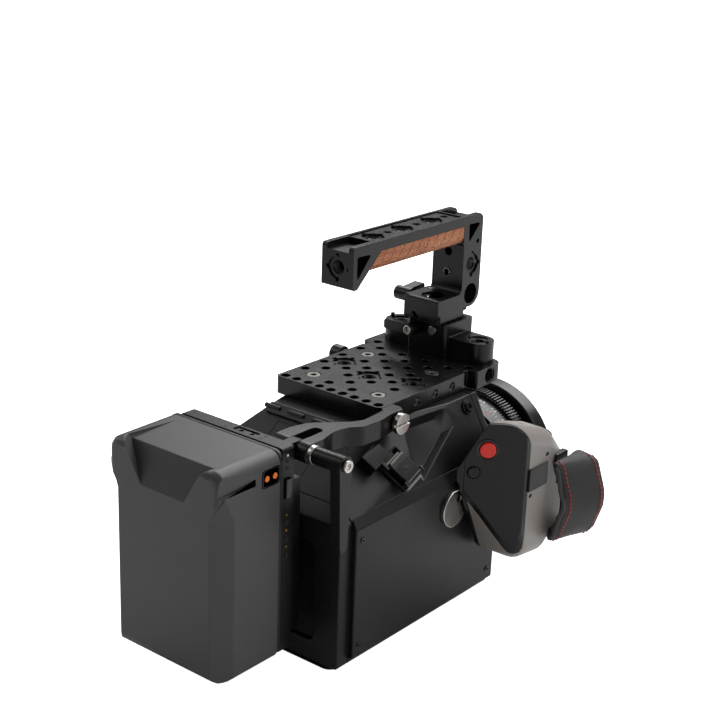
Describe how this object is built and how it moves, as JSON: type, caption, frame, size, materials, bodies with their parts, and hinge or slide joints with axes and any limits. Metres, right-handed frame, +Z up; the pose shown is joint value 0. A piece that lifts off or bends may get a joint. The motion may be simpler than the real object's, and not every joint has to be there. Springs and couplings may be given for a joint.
{
  "type": "cinema camera rig",
  "caption": "Cinema camera with lens, hole-grid top plate, riser, wood-inlaid top handle, side grip with hand strap, and a battery on a plate that swings on an arm.",
  "frame": {"origin": "mouth of the 3/8 in tripod thread in the middle of the flat base", "axes": "+X the operator's right, +Y forward along the lens, +Z up"},
  "size_m": [0.2316, 0.356, 0.2614],
  "materials": {
    "anodised": "satin black anodised",
    "casing": "fine textured black paint on magnesium alloy",
    "black_plastic": "matt black moulded plastic",
    "grey_plastic": "satin dark grey moulded plastic",
    "battery_plastic": "satin charcoal moulded plastic",
    "red_plastic": "glossy red",
    "orange_contact": "orange-lit brass contact",
    "steel": "satin steel",
    "wood": "oiled reddish hardwood",
    "leather": "black leather over padding",
    "webbing": "black woven webbing",
    "cell_can": "sleeved metal cell can",
    "glass": "coated optical glass",
    "gold": "gold-plated contact",
    "circuit_board": "solder-masked board"
  },
  "bodies": {
    "camera": {"main_casing": "casing", "top_cover": "casing", "right_cover": "black_plastic", "left_cover": "black_plastic", "front_panel": "casing", "rear_panel": "casing", "base_plate": "anodised", "sensor_frame": "anodised", "sensor_block": "circuit_board", "main_board": "circuit_board", "cooling_fan": "black_plastic", "rear_strip": "black_plastic", "flank_bolt": "anodised", "cable_clamp": "black_plastic", "strap_lug": "steel", "connector_panel": "black_plastic", "video_sockets": "steel", "lens_mount": "steel", "lens_barrel": "anodised", "front_ring": "anodised", "lens_glass": "glass", "top_plate": "anodised", "plate_screws": "steel", "riser": "anodised", "nato_rail": "anodised", "riser_lever_screw": "steel", "battery_arm": "anodised", "hinge_shaft": "steel"},
    "cable_latch": {"cable_latch": "black_plastic"},
    "lock_ring": {"mount_lock_ring": "anodised"},
    "iris_ring": {"iris_ring": "anodised"},
    "focus_ring": {"focus_ring": "anodised"},
    "riser_lever": {"riser_lever": "anodised"},
    "riser_button": {"riser_button": "anodised"},
    "handle": {"handle_frame": "anodised", "wood_grip": "wood", "handle_screws": "steel"},
    "clamp_jaw": {"clamp_jaw": "anodised"},
    "clamp_lever": {"clamp_lever": "anodised"},
    "arm_lever": {"arm_lever": "anodised"},
    "arm_thumbscrew": {"arm_thumbscrew": "steel"},
    "side_knob": {"side_knob": "anodised"},
    "battery_mount": {"battery_plate": "black_plastic", "power_socket": "black_plastic", "power_pins": "gold"},
    "battery_release": {"battery_release": "black_plastic"},
    "battery": {"battery_shell": "battery_plastic", "battery_base": "battery_plastic", "battery_cover": "battery_plastic", "battery_cells": "cell_can", "battery_socket": "black_plastic", "battery_contacts": "orange_contact"},
    "grip": {"grip_base": "black_plastic", "grip_shell": "grey_plastic", "grip_panel": "black_plastic", "strap_pad": "leather", "strap_webbing": "webbing"},
    "record_button": {"record_button": "red_plastic"},
    "second_button": {"second_button": "black_plastic"}
  },
  "joints": [
    {"name": "cable_latch_hinge", "type": "hinge", "parent": "camera", "child": "cable_latch", "pos_m": [0.07636, -0.00602, 0.12298], "axis": [-0.1064, 0.9547, 0.278], "range_deg": [0, 100]},
    {"name": "lock_ring_turn", "type": "hinge", "parent": "camera", "child": "lock_ring", "pos_m": [0, 0.1, 0.062], "axis": [0, 1, 0], "range_deg": [0, 35]},
    {"name": "iris_turn", "type": "hinge", "parent": "camera", "child": "iris_ring", "pos_m": [0, 0.128, 0.062], "axis": [0, 1, 0], "range_deg": [-45, 45]},
    {"name": "focus_turn", "type": "hinge", "parent": "camera", "child": "focus_ring", "pos_m": [0, 0.167, 0.062], "axis": [0, 1, 0], "range_deg": [-150, 150]},
    {"name": "riser_lever_turn", "type": "hinge", "parent": "camera", "child": "riser_lever", "pos_m": [-0.008, 0.098, 0.1806], "axis": [0, 1, 0], "range_deg": [-35, 95]},
    {"name": "riser_button_press", "type": "slide", "parent": "camera", "child": "riser_button", "axis": [0, 1, 0], "range_m": [0, 0.0016], "stiffness_N_per_m": 400, "springref_m": -0.001},
    {"name": "handle_slide", "type": "slide", "parent": "camera", "child": "handle", "axis": [0, 1, 0], "range_m": [0, 0.02]},
    {"name": "clamp_lever_turn", "type": "hinge", "parent": "handle", "child": "clamp_lever", "pos_m": [-0.028, 0.115, 0.199], "axis": [1, 0, 0], "range_deg": [0, 150]},
    {"name": "clamp_jaw_slide", "type": "slide", "parent": "handle", "child": "clamp_jaw", "axis": [-1, 0, 0], "range_m": [0, 0.0015]},
    {"name": "arm_lever_turn", "type": "hinge", "parent": "camera", "child": "arm_lever", "pos_m": [0.07, -0.08, 0.15525], "axis": [1, 0, 0], "range_deg": [-90, 0]},
    {"name": "thumbscrew_turn", "type": "hinge", "parent": "camera", "child": "arm_thumbscrew", "pos_m": [0.055, 0, 0.154], "axis": [1, 0, 0], "continuous": true},
    {"name": "side_knob_turn", "type": "hinge", "parent": "camera", "child": "side_knob", "pos_m": [-0.055, 0.074, 0.156], "axis": [1, 0, 0], "continuous": true},
    {"name": "battery_swing", "type": "hinge", "parent": "camera", "child": "battery_mount", "pos_m": [0.04, -0.08, 0.15525], "axis": [1, 0, 0], "range_deg": [-90, 0]},
    {"name": "battery_release_press", "type": "slide", "parent": "battery_mount", "child": "battery_release", "axis": [-1, 0, 0], "range_m": [0, 0.0018], "stiffness_N_per_m": 400, "springref_m": -0.001},
    {"name": "battery_lift", "type": "slide", "parent": "battery_mount", "child": "battery", "axis": [0, 0, 1], "range_m": [0, 0.012]},
    {"name": "grip_turn", "type": "hinge", "parent": "camera", "child": "grip", "pos_m": [0.0782, 0.078, 0.09], "axis": [1, 0, 0], "range_deg": [-30, 60]},
    {"name": "record_press", "type": "slide", "parent": "grip", "child": "record_button", "axis": [-0.6247, 0.7809, 0], "range_m": [0, 0.0012], "stiffness_N_per_m": 300, "springref_m": -0.001},
    {"name": "second_press", "type": "slide", "parent": "grip", "child": "second_button", "axis": [-0.6247, 0.7809, 0], "range_m": [0, 0.0009], "stiffness_N_per_m": 300, "springref_m": -0.001}
  ],
  "couplings": [
    {"joint": "clamp_lever_turn", "follows": "clamp_jaw_slide", "rad_per_m": 1745.3}
  ]
}
